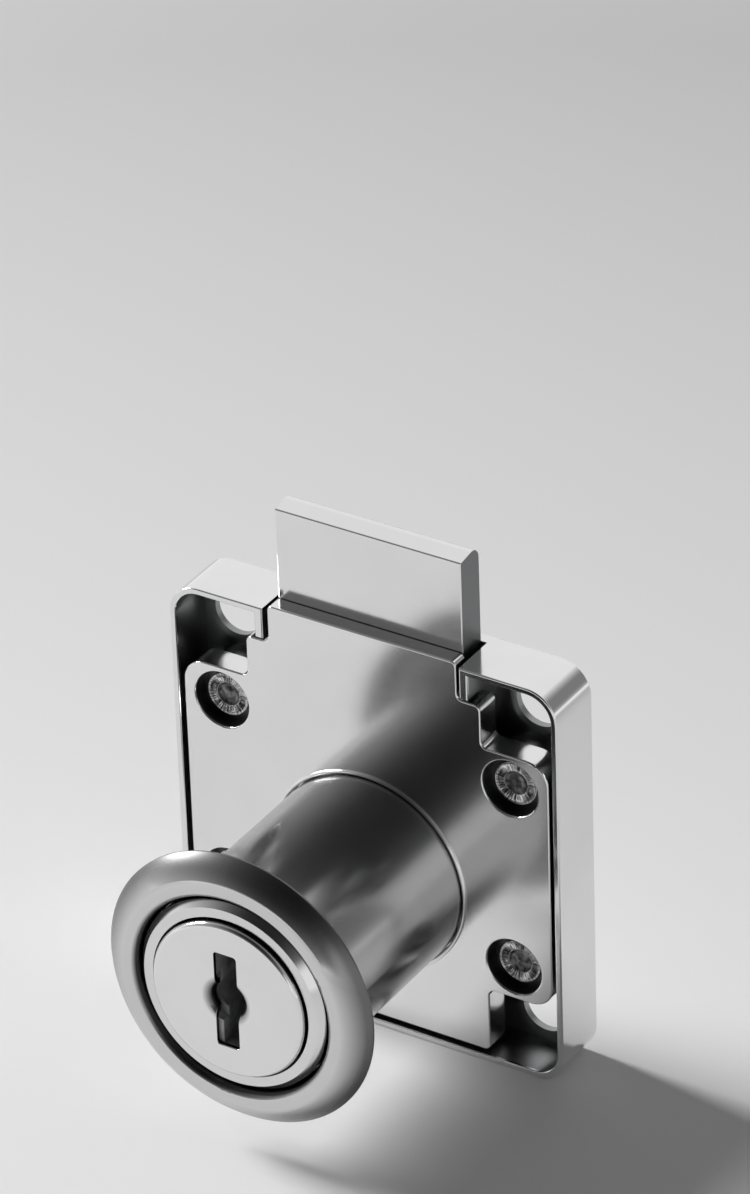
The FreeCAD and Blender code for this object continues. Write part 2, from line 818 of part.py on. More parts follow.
def make_plug_clip():
    body = new_body("plug_clip")
    inner = size("clip_groove_radius") + size("seat_gap")
    outer = size("clip_radius")
    half = size("clip_opening") / 2
    inner_rise = (inner * inner - half * half).root()
    outer_rise = (outer * outer - half * half).root()
    sketch = front_sketch(body, "clip_form", clip_front)
    outline(sketch, [
        (0, outer, outer, 1),
        (-half, -outer_rise, outer, 1),
        (-half, -inner_rise),
        (0, inner, inner, -1),
        (half, -inner_rise, inner, -1),
        (half, -outer_rise),
    ])
    pad(body, sketch, size("clip_thickness"))
    return body


# Bolt: flat bar with a cross slot for the drive pin

def make_bolt():
    body = new_body("bolt")
    half = size("bolt_width") / 2
    top = case_top + size("bolt_reach")
    crown = top + size("bolt_crown_rise")
    bottom = size("pin_offset") - size("bolt_tail")
    sketch = front_sketch(body, "bolt_bar", bolt_front)
    box_outline(sketch, -half, half, bottom, crown)
    pad(body, sketch, bolt_back - bolt_front)
    sketch = new_sketch(body, "bolt_crown", "YZ_Plane")
    outline(sketch, [(bolt_front, top), (bolt_back, crown), (bolt_front, crown)])
    cut_both_ways(body, sketch, size("bolt_width") * 2)
    dress(body, "Fillet", "bolt_tail_corners", [along_depth(half, bottom), along_depth(-half, bottom)],
          size("bolt_tail_round"))

    # A crank's lift follows a cosine; the slot leaves room for its furthest lead over a steady travel
    lead_angle = math.asin(2 / math.pi)
    cosine_lead = math.cos(lead_angle) + 2 * lead_angle / math.pi - 1
    slot_x = size("pin_offset") + size("pin_radius") + size("pin_side_gap")
    slot_z = size("pin_offset") * cosine_lead + size("pin_radius") + size("pin_side_gap")
    low = size("pin_offset") - slot_z
    high = size("pin_offset") + slot_z
    sketch = front_sketch(body, "bolt_slot", bolt_front)
    box_outline(sketch, -slot_x, slot_x, low, high)
    pocket(body, sketch, bolt_back)
    ends = [along_depth(side * slot_x, z) for side in (1, -1) for z in (low, high)]
    dress(body, "Fillet", "bolt_slot_ends", ends, size("pin_slot_round"))

    def top_back(edge):
        box = edge.BoundBox
        flat = box.YLength < NEAR and abs(box.YMin - bolt_back.value) < NEAR
        return flat and box.ZLength < NEAR and abs(box.ZMin - crown.value) < NEAR
    dress(body, "Fillet", "bolt_back_round", [top_back], size("bolt_back_round"))

    def front_edge(edge):
        box = edge.BoundBox
        flat = box.YLength < NEAR and abs(box.YMin - bolt_front.value) < NEAR
        outer = max(abs(box.XMin), abs(box.XMax)) > half.value - NEAR
        ends = box.ZMax > top.value - NEAR or box.ZMin < bottom.value + NEAR
        return flat and (outer or ends)
    dress(body, "Fillet", "bolt_front_round", [front_edge], size("bolt_edge_round"))
    return body


# Wafers: each has an ear to one side that stands on its spring

def make_wafer(index):
    hand = wafer_hand[index % 2]
    body = new_body("wafer_%d" % (index + 1))
    half = size("wafer_width") / 2
    tall = size("wafer_length") / 2
    ear = half + size("ear_length")
    ear_half = size("ear_height") / 2
    sketch = front_sketch(body, "wafer_form_%d" % (index + 1),
                          wafer_y(index) - size("wafer_thickness") / 2)
    turned = [(half, -tall), (half, -ear_half), (ear, -ear_half), (ear, ear_half), (half, ear_half),
              (half, tall), (-half, tall), (-half, -tall)]
    outline(sketch, [(hand * x, hand * z) for x, z in turned])
    pad(body, sketch, size("wafer_thickness"))
    ends = [along_depth(x, z) for x in (half, -half) for z in (tall, -tall)]
    dress(body, "Fillet", "wafer_ends_%d" % (index + 1), ends, size("wafer_end_round"))

    window = size("wafer_window") / 2
    window_tall = size("wafer_window_height") / 2
    lift = WAFER_CODE[index]
    sketch = front_sketch(body, "wafer_window_%d" % (index + 1),
                          wafer_y(index) - size("wafer_thickness") / 2)
    box_outline(sketch, -window, window, lift - window_tall, lift + window_tall)
    pocket(body, sketch, size("wafer_thickness") * 2)
    return body


# Springs: one coil under each ear, a helix of even pitch. The wire is six-sided, because it is
# hidden in its pocket and a round one would need many times the faces.

def make_spring(index):
    name = "wafer_spring_%d" % (index + 1)
    hand = wafer_hand[index % 2]
    wire = dims.get("spring_wire") / 2
    mean = dims.get("spring_radius")
    rise = dims.get("spring_length") - 2 * wire - 2 * dims.get("seat_gap")
    helix = Part.makeHelix(rise / SPRING_TURNS, rise, mean)
    corners = []
    for side in range(SPRING_WIRE_SIDES + 1):
        angle = 2 * math.pi * side / SPRING_WIRE_SIDES
        corners.append(Vector(mean + wire * math.cos(angle), 0, wire * math.sin(angle)))
    section = Part.makePolygon(corners)
    coil = Part.Wire(helix.Edges).makePipeShell([section], True, True)
    spring = doc.addObject("Part::Feature", name)
    spring.Label = name
    spring.Shape = coil
    foot = dims.get("ear_height") / 2 + dims.get("wafer_gap") + dims.get("seat_gap") + wire + rise
    depth = dims.get("wafer_first") + dims.get("wafer_pitch") * index - dims.get("barrel_length")
    place = Vector(hand * dims.get("spring_offset"), depth, -hand * foot)
    turned = FreeCAD.Rotation(Vector(0, 1, 0), 0 if hand > 0 else 180)
    spring.Placement = FreeCAD.Placement(place, turned)
    return spring


pieces = [
    make_case(),
    make_cover_plate(),
    make_rivets(),
    make_barrel(),
    make_trim_ring(),
    make_plug(),
    make_plug_cap(),
    make_plug_clip(),
    make_bolt(),
]
pieces += [make_wafer(index) for index in range(WAFERS)]
pieces += [make_spring(index) for index in range(WAFERS)]
doc.recompute()

for item in doc.Objects:
    if "Invalid" in item.State or "Error" in item.State:
        raise RuntimeError("%s did not build" % item.Label)
for piece in pieces:
    if piece.Shape.isNull() or not piece.Shape.isValid():
        raise RuntimeError("%s has no valid shape" % piece.Label)

os.makedirs("parts", exist_ok=True)
for piece in pieces:
    piece.Shape.exportStep("parts/%s.step" % piece.Label)
    print("%-16s solids %d volume %.2f" % (piece.Label, len(piece.Shape.Solids), piece.Shape.Volume))
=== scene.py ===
import math

import bmesh
import bpy
import numpy as np
from mathutils import Matrix, Vector


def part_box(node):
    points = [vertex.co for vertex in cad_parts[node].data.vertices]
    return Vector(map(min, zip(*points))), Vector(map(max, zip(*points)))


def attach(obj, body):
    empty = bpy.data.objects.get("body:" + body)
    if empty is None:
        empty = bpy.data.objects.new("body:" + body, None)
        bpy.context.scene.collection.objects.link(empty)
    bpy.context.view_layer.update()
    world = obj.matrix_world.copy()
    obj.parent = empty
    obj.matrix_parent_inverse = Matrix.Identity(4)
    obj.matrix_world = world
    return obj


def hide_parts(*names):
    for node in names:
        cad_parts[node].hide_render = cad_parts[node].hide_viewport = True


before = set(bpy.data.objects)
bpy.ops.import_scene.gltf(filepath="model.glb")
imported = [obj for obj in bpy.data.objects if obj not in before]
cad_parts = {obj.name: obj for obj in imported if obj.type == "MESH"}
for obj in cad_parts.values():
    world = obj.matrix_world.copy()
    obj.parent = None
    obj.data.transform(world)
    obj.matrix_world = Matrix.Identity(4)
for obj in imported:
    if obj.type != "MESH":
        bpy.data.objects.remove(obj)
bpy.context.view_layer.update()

# Looks of a square drawer lock with bright plated metal, in metres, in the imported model's frame:
# -Y runs along the barrel towards the key and +Z is the way the bolt leaves the case.

MM = 0.001

# Sizes of the lock that its finishes and rivets follow, in millimetres. The case's middle is that far
# above the barrel's axis, and the four rivets lie evenly round it. Depths are counted back from the
# case's rim.
CASE_WIDTH = 39.0
CASE_HEIGHT = 40.0
CASE_MIDDLE = 3.85
CASE_CORNER = 3.0
CASE_BACK = 5.9
CASE_HALF_WALL = 0.3
RIVET_X = 14.6
RIVET_RISE = 9.2
RIVET_SINK_REACH = 3.0
BARREL_GROOVE_DEPTH = -20.3
RING_CREST_INSIDE = 10.1
RING_CREST_OUTSIDE = 11.0
RING_RIM = 12.9
CAP_DIMPLE_RADIUS = 2.46

# Sizes of the plate's pattern, in millimetres: the polishing grain's width and depth, the depth of the
# waves in the metal below, and the width of a worn patch. Real polishing grain is a few hundredths of a
# millimetre wide and is drawn coarser, or it wouldn't show.
POLISHING_GRAIN = 0.25
POLISHING_DEPTH = 0.01
METAL_WAVE_DEPTH = 0.003
WORN_PATCH = 9.0

# The roughness of plate that the polishing wheel doesn't reach.
DULL_ROUGHNESS = 0.34

# The streaks of the rivets' teeth widen outwards: this many go to the length of their distance from the
# rivet's axis, which makes each 0.1 mm wide in the middle of the teeth.
STREAKS_PER_RADIUS = 15.0


# Colours and shader nodes

def linear(colour):
    """Turns an sRGB hex value into linear red, green, blue and an alpha of one."""
    parts = [int(colour[place:place + 2], 16) / 255 for place in (1, 3, 5)]
    curve = [part / 12.92 if part <= 0.04045 else ((part + 0.055) / 1.055) ** 2.4 for part in parts]
    return (*curve, 1.0)


def node(tree, kind, inputs=None, **settings):
    """Adds one node, sets its settings, and gives each named input a value, another node's output, or
    the first output that another node has in use."""
    made = tree.nodes.new(kind)
    for name, value in settings.items():
        setattr(made, name, value)
    for name, value in (inputs or {}).items():
        if isinstance(value, bpy.types.Node):
            value = next(output for output in value.outputs if output.enabled)
        if isinstance(value, bpy.types.NodeSocket):
            tree.links.new(value, made.inputs[name])
        else:
            made.inputs[name].default_value = value
    return made


def waves_per_metre(length):
    """Noise scale that gives features of this size in millimetres."""
    return 1 / (length * MM)


def new_material(name):
    """An empty material and its node tree."""
    material = bpy.data.materials.new(name)
    material.use_nodes = True
    material.node_tree.nodes.clear()
    return material, material.node_tree


def object_axes(tree, output="Object"):
    """The three coordinates, or the three parts of the normal, in the piece's own axes."""
    axes = node(tree, "ShaderNodeSeparateXYZ", {"Vector": node(tree, "ShaderNodeTexCoord").outputs[output]})
    return axes.outputs["X"], axes.outputs["Y"], axes.outputs["Z"]


# Places on the pieces, and where each finish turns dull or takes painted shade, as a share of nought to one

def folded_place(tree):
    """The place in the piece, folded about the case's middle onto one quarter of the case."""
    place = node(tree, "ShaderNodeTexCoord").outputs["Object"]
    centred = node(tree, "ShaderNodeVectorMath", {0: place, 1: (0, 0, CASE_MIDDLE * MM)},
                   operation="SUBTRACT")
    return node(tree, "ShaderNodeVectorMath", {0: centred}, operation="ABSOLUTE")


def from_barrel_axis(tree):
    """The distance from the barrel's axis."""
    x, z = object_axes(tree)[::2]
    sideways = node(tree, "ShaderNodeCombineXYZ", {"X": x, "Z": z})
    return node(tree, "ShaderNodeVectorMath", {0: sideways}, operation="LENGTH")


def inside_case(tree):
    """The case's hollow: behind the rim, in front of the back face and inside the four walls, by the
    distance from a box that is the case's outline drawn in by its corner radius. Its darker grey is
    partly painted shade."""
    core = ((CASE_WIDTH / 2 - CASE_CORNER) * MM, 1, (CASE_HEIGHT / 2 - CASE_CORNER) * MM)
    beyond = node(tree, "ShaderNodeVectorMath", {0: folded_place(tree), 1: core}, operation="SUBTRACT")
    outside = node(tree, "ShaderNodeVectorMath", {0: beyond}, operation="MAXIMUM")
    reach = node(tree, "ShaderNodeVectorMath", {0: outside}, operation="LENGTH")
    depth = object_axes(tree)[1]
    behind_rim = node(tree, "ShaderNodeMapRange",
                      {"Value": depth, "From Min": 0.15 * MM, "From Max": 0.35 * MM})
    before_back = node(tree, "ShaderNodeMapRange",
                       {"Value": depth, "From Min": (CASE_BACK - 0.04) * MM,
                        "From Max": (CASE_BACK - 0.08) * MM})
    within_walls = node(tree, "ShaderNodeMapRange",
                        {"Value": reach, "From Min": (CASE_CORNER - CASE_HALF_WALL) * MM,
                         "From Max": (CASE_CORNER - CASE_HALF_WALL - 0.05) * MM})
    between = node(tree, "ShaderNodeMath", {0: behind_rim, 1: before_back}, operation="MINIMUM")
    return node(tree, "ShaderNodeMath", {0: between, 1: within_walls}, operation="MINIMUM")


def rivet_seats(tree):
    """The cover plate's four sunk rivet seats, by the distance from the nearest rivet's axis, painted dark as
    shade.
    """
    sideways = node(tree, "ShaderNodeVectorMath", {0: folded_place(tree), 1: (1, 0, 1)}, operation="MULTIPLY")
    reach = node(tree, "ShaderNodeVectorMath", {0: sideways, 1: (RIVET_X * MM, 0, RIVET_RISE * MM)},
                 operation="DISTANCE")
    depth = object_axes(tree)[1]
    sunk = node(tree, "ShaderNodeMapRange", {"Value": depth, "From Min": 0.25 * MM, "From Max": 0.4 * MM})
    near_rivet = node(tree, "ShaderNodeMapRange",
                      {"Value": reach, "From Min": (RIVET_SINK_REACH + 0.1) * MM,
                       "From Max": RIVET_SINK_REACH * MM})
    return node(tree, "ShaderNodeMath", {0: sunk, 1: near_rivet}, operation="MINIMUM")


def cap_painted_shade(tree):
    """The cap's straight skirt behind its rounded edge, and the dimple round the keyway, both painted dark as
    shade.
    """
    lean = object_axes(tree, "Normal")[1]
    skirt = node(tree, "ShaderNodeMapRange", {"Value": lean, "From Min": -0.35, "From Max": -0.1})
    dimple = node(tree, "ShaderNodeMapRange",
                  {"Value": from_barrel_axis(tree), "From Min": CAP_DIMPLE_RADIUS * MM,
                   "From Max": 1.7 * MM})
    return node(tree, "ShaderNodeMath", {0: skirt, 1: dimple}, operation="MAXIMUM")


def turned_sides_and_groove_shade(tree):
    """The barrel's turned side, whose plate is thinner and greyer than on the polished nose, and, at the
    full share, its mouth and the groove round its nose, painted dark as shade."""
    depth = object_axes(tree)[1]
    lean = object_axes(tree, "Normal")[1]
    upright = node(tree, "ShaderNodeMapRange", {"Value": lean, "From Min": -0.6, "From Max": -0.4})
    thin_plate = node(tree, "ShaderNodeMath", {0: upright, 1: 0.4}, operation="MULTIPLY")
    at_nose = node(tree, "ShaderNodeMapRange",
                   {"Value": depth, "From Min": BARREL_GROOVE_DEPTH * MM,
                    "From Max": (BARREL_GROOVE_DEPTH - 0.1) * MM})
    groove_shade = node(tree, "ShaderNodeMath", {0: upright, 1: at_nose}, operation="MINIMUM")
    return node(tree, "ShaderNodeMath", {0: thin_plate, 1: groove_shade}, operation="MAXIMUM")


def ring_painted_shade(tree):
    """The hollow back of the pressed ring, where the normal leans back, and the slope inside its crest,
    which goes down to the barrel, both painted dark as shade. Towards its rim painted shade greys the
    dome more and more."""
    lean = object_axes(tree, "Normal")[1]
    distance = from_barrel_axis(tree)
    back = node(tree, "ShaderNodeMapRange",
                {"Value": lean, "From Min": 0.1, "From Max": 0.2, "To Max": 0.45})
    slope = node(tree, "ShaderNodeMapRange",
                 {"Value": distance, "From Min": RING_CREST_INSIDE * MM,
                  "From Max": (RING_CREST_INSIDE - 0.35) * MM})
    rim = node(tree, "ShaderNodeMapRange",
               {"Value": distance, "From Min": RING_CREST_OUTSIDE * MM, "From Max": RING_RIM * MM,
                "To Max": 0.8})
    back_and_slope_shade = node(tree, "ShaderNodeMath", {0: back, 1: slope}, operation="MAXIMUM")
    return node(tree, "ShaderNodeMath", {0: back_and_slope_shade, 1: rim}, operation="MAXIMUM")


def cut_sides(tree):
    """The bolt's two sheared sides, where the normal points across."""
    across = node(tree, "ShaderNodeMath", {0: object_axes(tree, "Normal")[0]}, operation="ABSOLUTE")
    return node(tree, "ShaderNodeMapRange", {"Value": across, "From Min": 0.75, "From Max": 0.95})


# Finishes

def plated_metal(name, colour, roughness, wave=6.0, grain=0.04, scratch=0.03, dull_and_shade_share=None,
                 dull_and_shade_colour="#7c7d7e"):
    """Bright electroplate. Waves in the metal below, this many millimetres long, bend reflections a
    little. Polishing grain spreads them: grain is what it adds to the roughness, and scratch is the share
    of its depth that shows. Broad patches of slightly duller metal keep the plate from looking new. Where
    the dull share goes to one the plate is grey and matt: on sheared or turned sides that is its own
    finish, and in recesses, on the ring's back and towards its rim the darker grey is painted shade."""
    material, tree = new_material(name)
    place = node(tree, "ShaderNodeTexCoord").outputs["Object"]
    waves = node(tree, "ShaderNodeTexNoise", {"Vector": place, "Scale": waves_per_metre(wave), "Detail": 1.0})
    grains = node(tree, "ShaderNodeTexNoise",
                  {"Vector": place, "Scale": waves_per_metre(POLISHING_GRAIN), "Detail": 3.0})
    patches = node(tree, "ShaderNodeTexNoise",
                   {"Vector": place, "Scale": waves_per_metre(WORN_PATCH), "Detail": 4.0, "Roughness": 0.6})
    spread = node(tree, "ShaderNodeMapRange",
                  {"Value": patches, "From Min": 0.3, "From Max": 0.7, "To Min": roughness * 0.85,
                   "To Max": roughness * 1.2})
    rough = node(tree, "ShaderNodeMath", {0: grains, 1: grain, 2: spread}, operation="MULTIPLY_ADD")
    tone = node(tree, "ShaderNodeMapRange",
                {"Value": patches, "From Min": 0.35, "From Max": 0.75, "To Min": 1.0, "To Max": 0.95})
    shade = node(tree, "ShaderNodeVectorMath", {0: linear(colour)[:3], "Scale": tone}, operation="SCALE")
    bend = node(tree, "ShaderNodeBump",
                {"Height": waves, "Strength": 1.0, "Distance": METAL_WAVE_DEPTH * MM})
    fine = node(tree, "ShaderNodeBump",
                {"Height": grains, "Strength": scratch, "Distance": POLISHING_DEPTH * MM, "Normal": bend})
    # Dull grey for unbuffed, sheared or turned metal, and painted shade in recesses and on the ring.
    if dull_and_shade_share:
        dull_and_shade = dull_and_shade_share(tree)
        shade = node(tree, "ShaderNodeMix", {"Factor": dull_and_shade, "A": shade, "B": linear(dull_and_shade_colour)},
                     data_type="RGBA")
        rough = node(tree, "ShaderNodeMix", {"Factor": dull_and_shade, "A": rough, "B": DULL_ROUGHNESS})
    shader = node(tree, "ShaderNodeBsdfPrincipled",
                  {"Base Color": shade, "Metallic": 1.0, "Roughness": rough, "Normal": fine})
    node(tree, "ShaderNodeOutputMaterial", {"Surface": shader})
    return material


def plain_metal(name, colour, dark_colour, roughness, grain, grain_depth, metallic=1.0, mottle=2.0):
    """Unplated metal as it leaves its tool: mottled from light to dark over spots of this size, with a
    rough grain of this size and depth, all in millimetres. The real grain is several times as fine and
    is drawn this coarse, or it wouldn't show."""
    material, tree = new_material(name)
    place = node(tree, "ShaderNodeTexCoord").outputs["Object"]
    spots = node(tree, "ShaderNodeTexNoise",
                 {"Vector": place, "Scale": waves_per_metre(mottle), "Detail": 5.0})
    grains = node(tree, "ShaderNodeTexNoise",
                  {"Vector": place, "Scale": waves_per_metre(grain), "Detail": 3.0})
    dark_share = node(tree, "ShaderNodeMapRange", {"Value": spots, "From Min": 0.35, "From Max": 0.65})
    shade = node(tree, "ShaderNodeMix", {"Factor": dark_share, "A": linear(colour), "B": linear(dark_colour)},
                 data_type="RGBA")
    rough = node(tree, "ShaderNodeMapRange",
                 {"Value": spots, "To Min": roughness * 0.8, "To Max": roughness * 1.25})
    bump = node(tree, "ShaderNodeBump", {"Height": grains, "Strength": 1.0, "Distance": grain_depth * MM})
    shader = node(tree, "ShaderNodeBsdfPrincipled",
                  {"Base Color": shade, "Metallic": metallic, "Roughness": rough, "Normal": bump})
    node(tree, "ShaderNodeOutputMaterial", {"Surface": shader})
    return material


def serrated_metal(name, streak_shade_colour, tooth_colour):
    """Metal pressed into fine radial teeth, with dark streaks of painted shade among bright ones. The
    streaks run along the teeth because they follow the turn round the rivet's own axis alone. Real teeth
    are 0.1 mm apart and are drawn half as fine, or they wouldn't show."""
    material, tree = new_material(name)
    from_axis = node(tree, "ShaderNodeAttribute", attribute_name="from_axis").outputs["Vector"]
    spoke = node(tree, "ShaderNodeVectorMath", {0: from_axis}, operation="NORMALIZE")
    streaks = node(tree, "ShaderNodeTexNoise", {"Vector": spoke, "Scale": STREAKS_PER_RADIUS, "Detail": 2.0})
    tooth_share = node(tree, "ShaderNodeMapRange", {"Value": streaks, "From Min": 0.36, "From Max": 0.52})
    shade = node(tree, "ShaderNodeMix",
                 {"Factor": tooth_share, "A": linear(streak_shade_colour), "B": linear(tooth_colour)},
                 data_type="RGBA")
    shader = node(tree, "ShaderNodeBsdfPrincipled", {"Base Color": shade, "Metallic": 1.0, "Roughness": 0.2})
    node(tree, "ShaderNodeOutputMaterial", {"Surface": shader})
    return material


def dress(material, *names):
    """Gives CAD pieces this finish alone."""
    for name in names:
        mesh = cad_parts[name].data
        mesh.materials.clear()
        mesh.materials.append(material)


# Zinc, die cast, buffed and plated with bright nickel: a clear mirror in slow waves. The hollow was never
# buffed and is softer, and its darker grey is painted shade.
nickel_case = plated_metal("bright nickel plate on cast zinc, case", "#e8e8e8", 0.08,
                           dull_and_shade_share=inside_case, dull_and_shade_colour="#9a9b9c")

# The cover is cast and plated in the same way, and buffed less: reflections have softer edges, and the
# sunk rivet seats are painted dark as shade.
nickel_plate = plated_metal("bright nickel plate on cast zinc, cover", "#e8e8e8", 0.13, wave=8.0,
                            dull_and_shade_share=rivet_seats, dull_and_shade_colour="#5c5d5e")

# Zinc turned on a lathe and plated with bright nickel: a greyer side that spreads reflections, a bright
# nose, and painted shade in its mouth and the groove round its nose.
nickel_barrel = plated_metal("bright nickel plate on turned zinc, barrel", "#e2e2e2", 0.12, wave=7.0,
                             grain=0.02, scratch=0.0, dull_and_shade_share=turned_sides_and_groove_shade, dull_and_shade_colour="#3a3a3b")

# The cover's own zinc, pressed up round the barrel: one thin bright line.
nickel_lip = plated_metal("bright nickel plate on cast zinc, lip", "#ececec", 0.1)

# Steel pressed into a dome, polished and chrome plated: a deep, even gradient over the dome. Painted
# shade greys it towards the rim, darkens its hollow back and draws a black line inside the crest.
chrome_ring = plated_metal("chrome plate on pressed steel, ring", "#d6d6d6", 0.07, wave=9.0,
                           dull_and_shade_share=ring_painted_shade, dull_and_shade_colour="#3c3c3d")

# Steel sheet, pressed and chrome plated: the clearest mirror on the lock, with painted shade on its skirt and
# in the dimple.
chrome_cap = plated_metal("chrome plate on pressed steel, cap", "#e9e9e9", 0.07, wave=9.0,
                          dull_and_shade_share=cap_painted_shade, dull_and_shade_colour="#2a2a2b")

# Zinc, cast, sheared to width and plated with bright nickel: clear faces with soft reflections, and mid
# grey sides.
nickel_bolt = plated_metal("bright nickel plate on cast zinc, bolt", "#e6e6e6", 0.14, wave=7.0,
                           dull_and_shade_share=cut_sides)

# Nickel plated steel, crushed by a toothed punch: bright teeth among dark radial streaks of painted shade.
serrated_rivet = serrated_metal("nickel plated rivet steel with dark dirt between the teeth", "#343435",
                                "#e2e2e2")

# The same steel, torn open where the punch went in and bare of plate: rough, mottled and dark grey.
rivet_cup = plain_metal("torn rivet steel in the cup of the head", "#98989a", "#262627", 0.35, 0.5, 0.15,
                        metallic=0.7, mottle=0.7)

# The rivets' tails, pressed flush and plated: discs a little softer than the case's back.
rivet_tail = plated_metal("bright nickel plate on rivet steel, tail", "#d8d8d8", 0.2)

# Zinc as cast, without plate: matt light grey.
cast_zinc = plain_metal("plain cast zinc", "#b4b5b6", "#7d7e80", 0.5, 0.3, 0.02, metallic=0.4)

# Nickel silver, stamped from sheet: a faintly warm grey.
wafer_metal = plain_metal("stamped nickel silver", "#a5a29a", "#6a6862", 0.3, 0.3, 0.006)

# Steel wire, drawn and wound: dull grey with a soft shine.
spring_steel = plain_metal("drawn spring steel", "#8d8e90", "#66676a", 0.3, 0.2, 0.004)

WAFERS = sorted(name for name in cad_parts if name.startswith("wafer_") and "spring" not in name)
SPRINGS = sorted(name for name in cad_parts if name.startswith("wafer_spring"))
dress(nickel_case, "case")
dress(nickel_plate, "cover_plate")
dress(nickel_barrel, "barrel")
dress(chrome_ring, "trim_ring")
dress(chrome_cap, "plug_cap")
dress(nickel_bolt, "bolt")
dress(cast_zinc, "plug")
dress(wafer_metal, *WAFERS)
dress(spring_steel, "plug_clip", *SPRINGS)


# Rivets with serrated, dished heads, in millimetres

RIVET_PLACES = np.array([(side * RIVET_X, CASE_MIDDLE + rise * RIVET_RISE)
                         for rise in (1, -1) for side in (-1, 1)])
RIVET_HEAD_FRONT = 1.2
RIVET_SEAT = 1.7
RIVET_SHANK_RADIUS = 1.4
RIVET_SHANK_BACK = 5.3
RIVET_TAIL_RADIUS = 2.0
RIVET_TAIL_BACK = CASE_BACK

# The head's real teeth are 0.1 mm apart, about a hundred in all. Fewer are cut here, or they wouldn't
# show.
RIVET_TEETH = 60
POINTS_PER_TOOTH = 4
TOOTH_DEPTH = 0.13
TOOTH_OUTER_END = 1.93
CUP_EDGE = 1.14
TORN_REACH = 0.9
TORN_DEPTH = 0.03
TEETH_SLOT, CUP_SLOT, TAIL_SLOT = 0, 1, 2
MERGE_DISTANCE = 1e-5


def closed_grid(name, points):
    """Makes a mesh from points[row, column, xyz] in millimetres. Each row is a closed loop, rows join to
    the next one with quads, and loops shrunk to one point become poles when doubles are merged."""
    rows, columns = points.shape[:2]
    row, column = np.meshgrid(np.arange(rows - 1), np.arange(columns), indexing="ij")
    here = row * columns + column
    beside = row * columns + (column + 1) % columns
    quads = np.stack([here, here + columns, beside + columns, beside], axis=-1).reshape(-1, 4)
    mesh = bpy.data.meshes.new(name)
    mesh.from_pydata((points.reshape(-1, 3) * MM).tolist(), [], quads.tolist())
    return mesh


def finish_piece(name, meshes, materials):
    """Joins meshes into one object at the origin, with doubles merged and faces turned outwards."""
    whole = bmesh.new()
    for mesh in meshes:
        whole.from_mesh(mesh)
    bmesh.ops.remove_doubles(whole, verts=whole.verts, dist=MERGE_DISTANCE * MM)
    bmesh.ops.recalc_face_normals(whole, faces=whole.faces)
    joined = bpy.data.meshes.new(name)
    whole.to_mesh(joined)
    whole.free()
    for material in materials:
        joined.materials.append(material)
    piece = bpy.data.objects.new(name, joined)
    bpy.context.scene.collection.objects.link(piece)
    return piece


def rivet_points(centre_x, centre_z, seed):
    """A turned profile: distance from the axis and depth y go down the rows and the turn goes across.
    Over the teeth, the depth grows by TOOTH_DEPTH times the 0.6th power of a sine over the ring's width,
    times a triangle wave of the turn, times each tooth's own seeded draw. In the cup, whose floor the
    setting tool tears, it changes by TORN_DEPTH times the sine of three times the turn plus the seed,
    times a sine over the distance from nought to TORN_REACH."""
    draws = np.random.default_rng(seed)
    around = RIVET_TEETH * POINTS_PER_TOOTH
    turn = np.arange(around) * 2 * np.pi / around
    cup = [(0.0, 0.30), (0.12, 0.30), (0.25, 0.25), (0.4, 0.22), (0.55, 0.25), (0.7, 0.29), (0.85, 0.30),
           (0.95, 0.27), (1.03, 0.21), (1.09, 0.15), (CUP_EDGE, 0.10)]
    ring_radius = np.linspace(CUP_EDGE + 0.04, TOOTH_OUTER_END, 12)
    ring_depth = 0.09 - 0.07 * (ring_radius - CUP_EDGE) / (TOOTH_OUTER_END - CUP_EDGE)
    rim = [(1.95, 0.06), (1.98, 0.06), (2.0, 0.02), (2.03, 0.0), (2.06, 0.01), (2.09, 0.04), (2.1, 0.08)]
    head = np.array(cup + list(zip(ring_radius, ring_depth)) + rim)
    shank = np.array([(rim[-1][0], RIVET_SEAT), (RIVET_SHANK_RADIUS, RIVET_SEAT),
                      (RIVET_SHANK_RADIUS, RIVET_SHANK_BACK), (RIVET_TAIL_RADIUS, RIVET_TAIL_BACK),
                      (0.0, RIVET_TAIL_BACK)])
    radius = np.concatenate([head[:, 0], shank[:, 0]])
    depth = np.concatenate([RIVET_HEAD_FRONT + head[:, 1], shank[:, 1]])
    ring_share = np.clip((radius - CUP_EDGE) / (TOOTH_OUTER_END - CUP_EDGE), 0, 1)
    on_head = np.arange(len(radius)) < len(head)
    bite = np.sin(np.pi * ring_share) ** 0.6 * on_head
    tooth_wave = np.abs(2 * ((turn * RIVET_TEETH / (2 * np.pi)) % 1) - 1)
    heights = np.repeat(draws.uniform(0.6, 1.0, RIVET_TEETH), POINTS_PER_TOOTH)
    torn_share = np.sin(np.pi * np.clip(radius / TORN_REACH, 0, 1)) * on_head
    torn = TORN_DEPTH * np.sin(3 * turn + seed) * torn_share[:, None]
    sunk = depth[:, None] + TOOTH_DEPTH * bite[:, None] * (tooth_wave * heights)[None, :] + torn
    across = radius[:, None] * np.cos(turn)[None, :] + centre_x
    up = radius[:, None] * np.sin(turn)[None, :] + centre_z
    return np.stack([across, sunk, up], axis=-1)


def beside_nearest_rivet(points):
    """How far each point lies to the side of the axis of the rivet nearest to it: x, z and a zero."""
    sideways = points[:, None, ::2] - RIVET_PLACES[None] * MM
    nearest = np.linalg.norm(sideways, axis=2).argmin(axis=1)
    beside = np.zeros_like(points)
    beside[:, :2] = sideways[np.arange(len(points)), nearest]
    return beside


